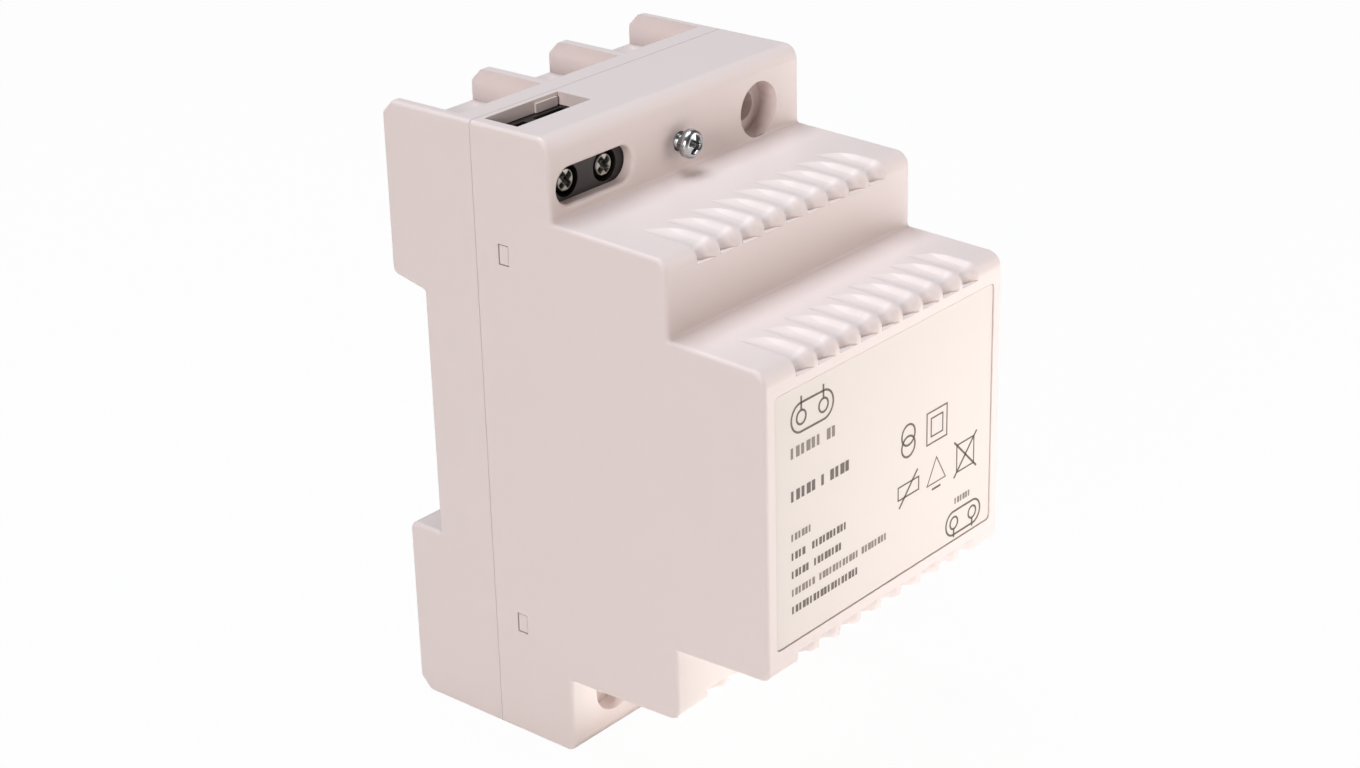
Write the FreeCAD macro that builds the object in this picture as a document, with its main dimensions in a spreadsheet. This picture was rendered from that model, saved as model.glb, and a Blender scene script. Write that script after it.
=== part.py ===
import FreeCAD, Part
import math
import os
import re
import Sketcher

# Doorbell transformer in a stepped housing three modules wide, for a 35 mm top-hat rail.
# Frame: +Z up, the front looks along -Y, and the origin is the centre of the rail seat.
# Depths are counted from the flat back plane towards the front.

SIZES = {
    # Housing
    "width": 52.0,
    "height": 90.0,
    "rail_depth": 6.0,
    "base_depth": 16.4,
    "terminal_depth": 30.2,
    "shoulder_depth": 49.5,
    "front_depth": 65.0,
    "terminal_step": 11.35,
    "shoulder_step": 11.4,
    "draft": 0.035,
    "wall": 1.8,
    "corner_radius": 2.1,
    "lower_corner_radius": 1.4,
    "least_radius": 0.3,
    "root_radius": 0.4,
    "side_radius": 0.6,
    "back_chamfer": 1.9,
    "back_ease": 0.8,
    "parting_gap": 0.06,
    "seat_gap": 0.1,
    "overcut": 1.0,
    # Bays behind the terminals
    "bay_length": 13.2,
    "bay_depth": 4.8,
    "fin": 1.5,
    "fin_spacing": 15.8,
    # Rail notch, hook and latch
    "notch_top": 18.7,
    "notch_top_back": 20.0,
    "notch_low": 18.0,
    "notch_radius": 1.2,
    "rail_lip": 1.4,
    "hook_width": 12.0,
    "hook_back": 1.4,
    "hook_reach": 15.6,
    "hook_lead": 1.0,
    "relief": 0.8,
    "relief_margin": 0.5,
    "latch_width": 12.6,
    "latch_wing": 1.4,
    "latch_wing_back": 3.2,
    "latch_wing_thickness": 1.4,
    "latch_back": 1.0,
    "latch_thickness": 4.1,
    "latch_inset": 4.0,
    "latch_slot_width": 6.0,
    "latch_slot_height": 2.4,
    "latch_slot_margin": 1.6,
    "latch_clearance": 0.3,
    "guide_wall": 1.6,
    # Screws and terminals, counted from the side and the top
    "fixing_inset_x": 9.0,
    "fixing_inset_z": 7.2,
    # Wall fixing holes
    "fixing_hole": 4.4,
    "fixing_tube": 6.6,
    "fixing_counterbore": 8.0,
    "fixing_counterbore_depth": 3.0,
    "fixing_boss_wall": 1.4,
    # Cover screws
    "screw_post": 6.0,
    "screw_thread": 2.4,
    "screw_pilot_clearance": 0.1,
    "screw_cover_clearance": 0.4,
    "screw_length": 12.0,
    "screw_head": 4.2,
    "screw_head_height": 1.7,
    "screw_head_bevel": 0.5,
    "screw_stand": 1.4,
    "screw_tip": 0.8,
    # Terminal openings of the cover
    "slot_length": 15.0,
    "slot_height": 5.1,
    "slot_radius": 0.5,
    "window_length": 14.2,
    "window_back": 17.4,
    "window_front": 23.3,
    "window_tongue": 4.2,
    "window_tongue_inset": 0.5,
    "window_tongue_drop": 0.5,
    "window_tongue_thickness": 0.3,
    # Snap tabs
    "snap_height": 27.4,
    "snap_back": 20.5,
    "snap_window_depth": 1.85,
    "snap_window_height": 2.95,
    "snap_clearance": 0.15,
    "snap_thickness": 1.4,
    "snap_width": 7.0,
    "snap_root": 6.0,
    "snap_tip": 1.0,
    # Louvres
    "louvre_count": 9,
    "louvre_pitch": 4.55,
    "louvre_shift": 1.65,
    "louvre_depth": 1.25,
    "louvre_length": 8.8,
    "louvre_drop": 2.3,
    "louvre_lid": 0.6,
    "louvre_plunge": 10.0,
    "louvre_run": 0.2,
    "louvre_knee": 2.8,
    "louvre_knee_rise": 0.75,
    "louvre_rim": 3.7,
    "louvre_rim_low": 0.03,
    "louvre_rim_radius": 1.1,
    "louvre_reach": 4.4,
    "louvre_reach_high": 0.09,
    # Label
    "label_side": 1.8,
    "label_edge": 3.8,
    "label_recess": 0.4,
    "label_radius": 0.8,
    "label_clearance": 0.15,
    "label_thickness": 0.25,
    # Terminal blocks
    "pitch": 7.5,
    "block_width": 15.6,
    "block_foot": 4.4,
    "well": 4.5,
    "entry_width": 5.8,
    "entry_wall": 1.0,
    "clamp_width": 5.4,
    "clamp_back": 18.1,
    "clamp_depth": 6.6,
    "clamp_height": 5.0,
    "clamp_wall": 1.0,
    "clamp_nut": 1.6,
    "clamp_clearance": 0.15,
    "tail_width": 2.0,
    "tail_length": 4.0,
    "terminal_thread": 2.9,
    "terminal_head": 3.9,
    "terminal_head_height": 1.8,
    "terminal_head_bevel": 0.3,
    "terminal_screw_reach": 3.4,
    "terminal_head_inset": 0.05,
    # Transformer
    "core_length": 48.0,
    "core_height": 40.0,
    "core_stack": 20.0,
    "core_back": 26.0,
    "core_leg": 16.0,
    "window_width": 8.0,
    "window_span": 24.0,
    "core_post_z": 19.6,
    "lead_room": 0.45,
    "core_post_height": 4.0,
    "core_pad_x": 13.0,
    "core_pad_gap": 0.55,
    "core_pad_width": 7.0,
    "core_pad_height": 2.6,
    "bobbin_wall": 0.9,
    "bobbin_clearance": 0.15,
    "flange": 1.0,
    "winding_gap": 0.1,
    "winding_margin": 1.3,
    "winding_radius": 2.0,
    "tape": 0.3,
    "pin_rail": 3.0,
    "pin_rail_depth": 3.2,
    "pin": 0.9,
    "pin_clearance": 0.05,
    "pin_reach": 2.4,
    "pin_root": 2.2,
    "pin_spacing": 11.0,
    "protector_diameter": 8.0,
    "protector_thickness": 2.4,
    "lead": 1.6,
    "lead_bend": 3.0,

}

doc = FreeCAD.newDocument("BellTransformer")
sheet = doc.addObject("Spreadsheet::Sheet", "Dims")
for row, (alias, value) in enumerate(SIZES.items(), start=1):
    sheet.set(f"A{row}", alias)
    sheet.set(f"B{row}", str(value))
    sheet.setAlias(f"B{row}", alias)
doc.recompute()

ALIAS = re.compile(r"\b(" + "|".join(SIZES) + r")\b")
nodes = []


# Expressions

def bound(text):
    return ALIAS.sub(r"Dims.\1", str(text))


def number(text):
    return float(sheet.evalExpression(str(text)))


def bind(item, prop, text):
    item.setExpression(prop, bound(text))


def y_at(depth):
    # Y of a depth counted from the back plane
    return f"(rail_depth - ({depth}))"


def out_at(depth):
    # Offset of a depth along the front-facing normal of the XZ plane
    return f"(({depth}) - rail_depth)"


# Sketches

def new_body(label):
    body = doc.addObject("PartDesign::Body", label)
    body.Label = label
    return body


def origin_feature(body, role):
    return next(item for item in body.Origin.OriginFeatures if item.Role == role)


def sketch_on(body, role, offset="0", shift_x=None, shift_y=None):
    sketch = body.newObject("Sketcher::SketchObject", f"{body.Name}_sketch")
    sketch.AttachmentSupport = [(origin_feature(body, role), "")]
    sketch.MapMode = "FlatFace"
    bind(sketch, "AttachmentOffset.Base.z", offset)
    if shift_x is not None:
        bind(sketch, "AttachmentOffset.Base.x", shift_x)
    if shift_y is not None:
        bind(sketch, "AttachmentOffset.Base.y", shift_y)
    return sketch


def hold_point(sketch, geometry, vertex, across, up):
    # Ties a point of the sketch to its two coordinates
    for kind, text in (("DistanceX", across), ("DistanceY", up)):
        rule = Sketcher.Constraint(kind, -1, 1, geometry, vertex, number(text))
        bind(sketch, f"Constraints[{sketch.addConstraint(rule)}]", text)


def hold_radius(sketch, geometry, text):
    rule = Sketcher.Constraint("Radius", geometry, number(text))
    bind(sketch, f"Constraints[{sketch.addConstraint(rule)}]", text)


def corner_arc(here, back, ahead, radius):
    # Arc tangent to both sides of a corner, with its two ends in the order of travel
    half = back.getAngle(ahead) / 2
    start = here + back * (radius / math.tan(half))
    end = here + ahead * (radius / math.tan(half))
    middle = (back + ahead).normalize() * (radius / math.sin(half))
    centre = here + middle
    turns_left = back.cross(ahead).z < 0
    first, last = (start, end) if turns_left else (end, start)
    angles = [math.atan2(point.y - centre.y, point.x - centre.x) for point in (first, last)]
    circle = Part.Circle(centre, FreeCAD.Vector(0, 0, 1), radius)
    return start, end, Part.ArcOfCircle(circle, *angles), turns_left


def outline(sketch, corners, closed=True):
    # Straight sides through the corners; a corner with a third entry is rounded by that radius
    count = len(corners)
    places = [FreeCAD.Vector(number(corner[0]), number(corner[1]), 0) for corner in corners]
    starts = list(places)
    ends = list(places)
    arcs = {}
    for index, corner in enumerate(corners):
        if len(corner) == 3:
            here = places[index]
            back = (places[index - 1] - here).normalize()
            ahead = (places[(index + 1) % count] - here).normalize()
            start, end, arc, turns_left = corner_arc(here, back, ahead, number(corner[2]))
            ends[index] = start
            starts[index] = end
            arcs[index] = (arc, turns_left)
    sides = []
    for index in range(count if closed else count - 1):
        side = Part.LineSegment(starts[index], ends[(index + 1) % count])
        sides.append(sketch.addGeometry(side))
    for index, corner in enumerate(corners):
        before = sides[index - 1] if closed or index > 0 else None
        after = sides[index] if index < len(sides) else None
        if index in arcs:
            arc, turns_left = arcs[index]
            curve = sketch.addGeometry(arc)
            mark = sketch.addGeometry(Part.Point(places[index]), True)
            near, far = (1, 2) if turns_left else (2, 1)
            sketch.addConstraint([
                Sketcher.Constraint("Tangent", before, 2, curve, near),
                Sketcher.Constraint("Tangent", curve, far, after, 1),
                Sketcher.Constraint("PointOnObject", mark, 1, before),
                Sketcher.Constraint("PointOnObject", mark, 1, after),
            ])
            hold_radius(sketch, curve, corner[2])
            hold_point(sketch, mark, 1, corner[0], corner[1])
        elif after is None:
            hold_point(sketch, before, 2, corner[0], corner[1])
        else:
            if before is not None:
                sketch.addConstraint(Sketcher.Constraint("Coincident", before, 2, after, 1))
            hold_point(sketch, after, 1, corner[0], corner[1])


def rectangle(sketch, left, right, low, high, radius=None):
    corners = [(left, low), (right, low), (right, high), (left, high)]
    if radius is not None:
        corners = [corner + (radius,) for corner in corners]
    outline(sketch, corners)


def circle(sketch, across, up, radius):
    centre = FreeCAD.Vector(number(across), number(up), 0)
    ring = sketch.addGeometry(Part.Circle(centre, FreeCAD.Vector(0, 0, 1), number(radius)))
    hold_radius(sketch, ring, radius)
    hold_point(sketch, ring, 3, across, up)


def round_slot(sketch, across, up, length, height):
    # Slot with half-round ends, lying along the sketch's first axis
    radius = f"({height}) / 2"
    reach = f"(({length}) - ({height})) / 2"
    rise = FreeCAD.Vector(0, number(radius), 0)
    left = FreeCAD.Vector(number(f"{across} - {reach}"), number(up), 0)
    right = FreeCAD.Vector(number(f"{across} + {reach}"), number(up), 0)
    normal = FreeCAD.Vector(0, 0, 1)
    turn = math.pi / 2
    ends = [
        sketch.addGeometry(Part.ArcOfCircle(Part.Circle(left, normal, rise.y), turn, 3 * turn)),
        sketch.addGeometry(Part.ArcOfCircle(Part.Circle(right, normal, rise.y), -turn, turn)),
    ]
    low = sketch.addGeometry(Part.LineSegment(left - rise, right - rise))
    high = sketch.addGeometry(Part.LineSegment(right + rise, left + rise))
    sketch.addConstraint([
        Sketcher.Constraint("Tangent", ends[0], 2, low, 1),
        Sketcher.Constraint("Tangent", low, 2, ends[1], 1),
        Sketcher.Constraint("Tangent", ends[1], 2, high, 1),
        Sketcher.Constraint("Coincident", high, 2, ends[0], 1),
    ])
    hold_radius(sketch, ends[0], radius)
    hold_point(sketch, ends[0], 3, f"{across} - {reach}", up)
    hold_point(sketch, ends[1], 3, f"{across} + {reach}", up)


# Features

def solid_volume(body):
    doc.recompute()
    return body.Shape.Volume


def extrude(body, kind, sketch, length, symmetric=False, reverse=False):
    # A Pad has to add and a Pocket has to remove material
    before = body.Shape.Volume if body.Tip and not body.Shape.isNull() else 0.0
    feature = body.newObject(f"PartDesign::{kind}", f"{body.Name}_{kind.lower()}")
    feature.Profile = sketch
    bind(feature, "Length", length)
    feature.SideType = "Symmetric" if symmetric else "One side"
    feature.Reversed = reverse
    change = solid_volume(body) - before
    if change == 0 or (change > 0) != (kind == "Pad"):
        raise RuntimeError(f"{feature.Name} of {body.Label} changed nothing")
    return feature


def pad(body, sketch, length, **settings):
    return extrude(body, "Pad", sketch, length, **settings)


def pocket(body, sketch, length, **settings):
    return extrude(body, "Pocket", sketch, length, **settings)


def round_edges(body, radius, wanted):
    # Rounds the edges of the body's last feature whose middle passes the test
    doc.recompute()
    last = body.Tip
    names = []
    for index, edge in enumerate(last.Shape.Edges, start=1):
        middle = edge.valueAt((edge.FirstParameter + edge.LastParameter) / 2)
        if wanted(edge, middle):
            names.append(f"Edge{index}")
    if not names:
        raise RuntimeError(f"no edge to round on {body.Label}")
    feature = body.newObject("PartDesign::Fillet", f"{body.Name}_fillet")
    feature.Base = (last, names)
    bind(feature, "Radius", radius)
    doc.recompute()
    return feature


def revolve(body, sketch):
    feature = body.newObject("PartDesign::Revolution", f"{body.Name}_revolution")
    feature.Profile = sketch
    feature.ReferenceAxis = (sketch, ["H_Axis"])
    feature.Angle = 360
    doc.recompute()
    return feature


def pipe(body, kind, section, spine):
    feature = body.newObject(f"PartDesign::{kind}", f"{body.Name}_pipe")
    feature.Profile = section
    doc.recompute()
    feature.Spine = (spine, [f"Edge{i}" for i in range(1, len(spine.Shape.Edges) + 1)])
    doc.recompute()
    return feature


# Copies and nodes

def mirrored(source, label, normal, base_x="0"):
    copy = doc.addObject("Part::Mirroring", label)
    copy.Label = label
    copy.Source = source
    copy.Normal = FreeCAD.Vector(*normal)
    bind(copy, "Base.x", base_x)
    return copy


def half_turn(source, label):
    # Half a turn about Y, as two mirrors
    return mirrored(mirrored(source, f"{label}_side", (1, 0, 0)), label, (0, 0, 1))


def group(label, members):
    joined = doc.addObject("Part::Compound", label)
    joined.Label = label
    joined.Links = members
    return joined


def node(item):
    nodes.append(item)
    return item


# Shared places

HALF_WIDTH = "width / 2"
HALF_HEIGHT = "height / 2"
INNER_HALF = "(width / 2 - wall)"
COVER_BACK = "(base_depth + parting_gap)"
TERMINAL_INSIDE = "(terminal_depth - wall)"
SHOULDER_INSIDE = "(shoulder_depth - wall)"
SHOULDER_HALF = "(height / 2 - terminal_step)"
FRONT_HALF = "(height / 2 - terminal_step - shoulder_step)"
SHOULDER_EDGE = f"({SHOULDER_HALF} - (shoulder_depth - terminal_depth) * draft)"
FRONT_EDGE = f"({FRONT_HALF} - (front_depth - shoulder_depth) * draft)"
FIXING_X = "(width / 2 - fixing_inset_x)"
FIXING_Z = "(height / 2 - fixing_inset_z)"
LABEL_HALF_WIDTH = "(width / 2 - label_side)"
LABEL_HALF_HEIGHT = f"({FRONT_EDGE} - label_edge)"
BAY_FLOOR = "(height / 2 - bay_depth)"
INNER_TOP = "(height / 2 - bay_depth - wall)"
SEAT_INSIDE = "(rail_depth + wall)"
INNER_RADIUS = "max(corner_radius - wall; least_radius)"
CORE_FRONT = "(core_back + core_stack)"
CORE_MIDDLE = "(core_back + core_stack / 2)"
CHANNEL_HALF = "(latch_width / 2 + latch_clearance)"
WING_HALF = "(latch_width / 2 + latch_wing)"
CHANNEL_DEPTH = "(latch_back + latch_thickness + latch_clearance)"
HOOK_FRONT = "(rail_depth - rail_lip)"
SNAP_OUTSIDE = "(width / 2 - wall - snap_clearance)"
SNAP_INSIDE = "(width / 2 - wall - snap_clearance - snap_thickness)"
CORNER_SIGNS = [(1, 1), (1, -1), (-1, -1), (-1, 1)]
FIXING_SIGNS = [1, -1]


def centred(sketch, across, up, width, height):
    rectangle(sketch, f"{across} - ({width}) / 2", f"{across} + ({width}) / 2",
              f"{up} - ({height}) / 2", f"{up} + ({height}) / 2")


# Rear half of the housing

def make_base():
    body = new_body("base")
    side = sketch_on(body, "YZ_Plane")
    outline(side, [
        (y_at("back_chamfer"), HALF_HEIGHT, "back_ease"),
        (y_at("0"), f"{HALF_HEIGHT} - back_chamfer", "back_ease"),
        (y_at("0"), "notch_top_back", "notch_radius"),
        (y_at("rail_depth"), "notch_top", "root_radius"),
        (y_at("rail_depth"), "-notch_low", "root_radius"),
        (y_at("0"), "-notch_low", "notch_radius"),
        (y_at("0"), f"-({HALF_HEIGHT} - back_chamfer)", "back_ease"),
        (y_at("back_chamfer"), f"-{HALF_HEIGHT}", "back_ease"),
        (y_at("base_depth"), f"-{HALF_HEIGHT}"),
        (y_at("base_depth"), HALF_HEIGHT),
    ])
    pad(body, side, "width", symmetric=True)
    half = number(HALF_WIDTH)
    parting = number(y_at("base_depth"))

    def outer_side(edge, middle):
        return abs(abs(middle.x) - half) < 1e-6 and middle.y > parting + 1e-6

    round_edges(body, "side_radius", outer_side)

    inside = sketch_on(body, "YZ_Plane")
    outline(inside, [
        (y_at("base_depth + overcut"), INNER_TOP),
        (y_at("wall"), INNER_TOP),
        (y_at("wall"), "notch_top_back + wall"),
        (y_at(SEAT_INSIDE), "notch_top_back + wall"),
        (y_at(SEAT_INSIDE), f"-{INNER_TOP}"),
        (y_at("base_depth + overcut"), f"-{INNER_TOP}"),
    ])
    pocket(body, inside, f"2 * {INNER_HALF}", symmetric=True)

    # Hollows on both sides of the latch guide
    lower = sketch_on(body, "XZ_Plane", out_at(SEAT_INSIDE))
    guide = f"({WING_HALF} + latch_clearance + guide_wall)"
    rectangle(lower, guide, INNER_HALF, f"-{INNER_TOP}", "-(notch_low + wall)")
    rectangle(lower, f"-{INNER_HALF}", f"-{guide}", f"-{INNER_TOP}", "-(notch_low + wall)")
    pocket(body, lower, "rail_depth")

    # Three open bays at the top and three at the bottom, between upright fins
    bays = sketch_on(body, "XZ_Plane", out_at("bay_length"))
    rib_in = "(fin_spacing - fin) / 2"
    rib_out = "(fin_spacing + fin) / 2"
    wall_in = "(width / 2 - fin)"
    for low, high in ((BAY_FLOOR, f"{HALF_HEIGHT} + overcut"), (f"-({HALF_HEIGHT} + overcut)", f"-{BAY_FLOOR}")):
        rectangle(bays, f"-{wall_in}", f"-{rib_out}", low, high)
        rectangle(bays, f"-{rib_in}", rib_in, low, high)
        rectangle(bays, rib_out, wall_in, low, high)
    pocket(body, bays, "bay_length + overcut")

    # Channel and side grooves of the rail latch
    channel = sketch_on(body, "XZ_Plane", out_at(CHANNEL_DEPTH))
    channel_low = f"-({HALF_HEIGHT} + overcut)"
    rectangle(channel, f"-{CHANNEL_HALF}", CHANNEL_HALF, channel_low, "-notch_low + overcut")
    pocket(body, channel, f"{CHANNEL_DEPTH} + overcut")
    groove = sketch_on(body, "XZ_Plane", out_at("latch_wing_back + latch_wing_thickness + latch_clearance"))
    wing = f"({WING_HALF} + latch_clearance)"
    rectangle(groove, f"-{wing}", wing, channel_low, "-notch_low + overcut")
    pocket(body, groove, "latch_wing_thickness + 2 * latch_clearance")

    # Fixed hook above the rail, and relief of the seat in front of the hook and the latch
    hook = sketch_on(body, "YZ_Plane")
    outline(hook, [
        (y_at("hook_back"), "notch_top_back + wall / 2"),
        (y_at("hook_back"), "hook_reach + hook_lead"),
        (y_at("hook_back + hook_lead"), "hook_reach"),
        (y_at(HOOK_FRONT), "hook_reach"),
        (y_at(HOOK_FRONT), "notch_top_back + wall / 2"),
    ])
    pad(body, hook, "hook_width", symmetric=True)
    relief = sketch_on(body, "XZ_Plane", out_at("rail_depth + relief"))
    side_x = "(hook_width / 2 + relief_margin)"
    rectangle(relief, f"-{side_x}", side_x, "hook_reach - relief_margin", "notch_top")
    rectangle(relief, f"-{CHANNEL_HALF}", CHANNEL_HALF, "-notch_low", "-(hook_reach - relief_margin)")
    pocket(body, relief, "relief")

    # Tubes of the wall fixing holes and posts of the cover screws
    tubes = sketch_on(body, "XZ_Plane", out_at("0"))
    tube_front = f"({TERMINAL_INSIDE} - fixing_counterbore_depth - seat_gap)"
    for sign in FIXING_SIGNS:
        circle(tubes, f"{sign} * {FIXING_X}", f"{sign} * {FIXING_Z}", "fixing_tube / 2")
    pad(body, tubes, tube_front)
    holes = sketch_on(body, "XZ_Plane", out_at(tube_front))
    for sign in FIXING_SIGNS:
        circle(holes, f"{sign} * {FIXING_X}", f"{sign} * {FIXING_Z}", "fixing_hole / 2")
    pocket(body, holes, f"{tube_front} + overcut")
    posts = sketch_on(body, "XZ_Plane", out_at("bay_length"))
    for sign in FIXING_SIGNS:
        circle(posts, "0", f"{sign} * {FIXING_Z}", "screw_post / 2")
    post_front = f"({TERMINAL_INSIDE} - seat_gap)"
    pad(body, posts, f"{post_front} - bay_length")
    pilots = sketch_on(body, "XZ_Plane", out_at(post_front))
    for sign in FIXING_SIGNS:
        circle(pilots, "0", f"{sign} * {FIXING_Z}", "screw_thread / 2 + screw_pilot_clearance")
    pocket(body, pilots, "screw_length")

    # Posts under the transformer core
    core = sketch_on(body, "XZ_Plane", out_at("rail_depth + wall / 2"))
    for side_sign, up_sign in CORNER_SIGNS:
        centred(core, f"{side_sign} * {FIXING_X}", f"{up_sign} * core_post_z",
                "pitch - lead - 2 * lead_room", "core_post_height")
    pad(body, core, "core_back - rail_depth - wall / 2")

    # Snap tabs: a root on the side wall, a tongue inside the cover and a nub in its window
    root_back = "base_depth - snap_root"
    for low, high, back, length in (
            (SNAP_INSIDE, "width / 2 - wall / 2", root_back, "snap_root"),
            (SNAP_INSIDE, SNAP_OUTSIDE, root_back, "snap_root + snap_back + snap_window_depth + snap_tip - base_depth"),
    ):
        tongue = sketch_on(body, "XZ_Plane", out_at(back))
        for side_sign, up_sign in CORNER_SIGNS:
            edges = (low, high) if side_sign > 0 else (f"-({high})", f"-({low})")
            rectangle(tongue, *edges, f"{up_sign} * snap_height - snap_width / 2",
                      f"{up_sign} * snap_height + snap_width / 2")
        pad(body, tongue, length)
    nubs = sketch_on(body, "XZ_Plane", out_at("snap_back + snap_clearance"))
    nub_half = "(snap_window_height / 2 - snap_clearance)"
    for side_sign, up_sign in CORNER_SIGNS:
        low, high = f"{SNAP_OUTSIDE} - snap_thickness / 2", "width / 2 - seat_gap"
        edges = (low, high) if side_sign > 0 else (f"-({high})", f"-({low})")
        rectangle(nubs, *edges, f"{up_sign} * snap_height - {nub_half}", f"{up_sign} * snap_height + {nub_half}")
    pad(body, nubs, "snap_window_depth - 2 * snap_clearance")
    return node(body)


# Front half of the housing

def step_corners(reach, back, inset, corner, root):
    # Upper half of the stepped side view, set in by a wall or not
    return [
        (y_at(back), f"{HALF_HEIGHT} - {inset}"),
        (y_at(f"terminal_depth - {inset}"), f"{HALF_HEIGHT} - {inset}", corner),
        (y_at(f"terminal_depth - {inset}"), f"{SHOULDER_HALF} - {inset}", root),
        (y_at(f"shoulder_depth - {inset}"), f"{SHOULDER_EDGE} - {inset}", corner),
        (y_at(f"shoulder_depth - {inset}"), f"{FRONT_HALF} - {inset}", root),
        (y_at(reach), f"{FRONT_EDGE} - {inset}", corner),
    ]


def both_halves(upper, lower):
    below = [(corner[0], f"-({corner[1]})") + tuple(corner[2:]) for corner in reversed(lower)]
    return upper + below


def cut_louvres(body):
    # Each louvre has an upright left side and a floor that rises to a rounded rim on its right.
    # It plunges in at a point on the top face, goes round the front edge and ends on the front face.
    first = "-(louvre_count - 1) / 2 * louvre_pitch - louvre_shift"
    lid = "(louvre_depth + louvre_lid)"
    plunge_back = "(louvre_plunge - sqrt(louvre_depth * (2 * louvre_plunge - louvre_depth)))"
    cuts = []
    for front, edge in (("shoulder_depth", SHOULDER_EDGE), ("front_depth", FRONT_EDGE)):
        start = f"({front} - louvre_length - {plunge_back})"
        floor_start = f"({edge} + ({front} - {start}) * draft - louvre_depth)"
        floor_end = f"({edge} + louvre_depth * draft - louvre_depth)"
        top = f"({floor_start} + louvre_plunge + louvre_run)"
        for sign, bend in ((1, "corner_radius"), (-1, "lower_corner_radius")):
            spine = sketch_on(body, "YZ_Plane", first)
            outline(spine, [
                (y_at(start), f"{sign} * {top}"),
                (y_at(start), f"{sign} * {floor_start}", "louvre_plunge"),
                (y_at(f"{front} - louvre_depth"), f"{sign} * {floor_end}",
                 f"max({bend} - louvre_depth; least_radius)"),
                (y_at(f"{front} - louvre_depth"), f"{sign} * ({edge} - louvre_drop)"),
            ], closed=False)
            section = sketch_on(body, "XY_Plane", f"{sign} * {top}", first, y_at(start))
            outline(section, [
                ("0", "0"),
                ("louvre_knee", "-louvre_knee_rise"),
                ("louvre_rim", "louvre_rim_low - louvre_depth", "louvre_rim_radius"),
                ("louvre_reach", "-(louvre_depth + louvre_reach_high)"),
                ("louvre_reach", f"-{lid}"),
                ("0", f"-{lid}"),
            ])
            cuts.append(pipe(body, "SubtractivePipe", section, spine))
    row = body.newObject("PartDesign::LinearPattern", "louvre_row")
    row.Originals = cuts
    row.Direction = (origin_feature(body, "X_Axis"), [""])
    bind(row, "Length", "(louvre_count - 1) * louvre_pitch")
    bind(row, "Occurrences", "louvre_count")
    body.Tip = row
    doc.recompute()


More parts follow.
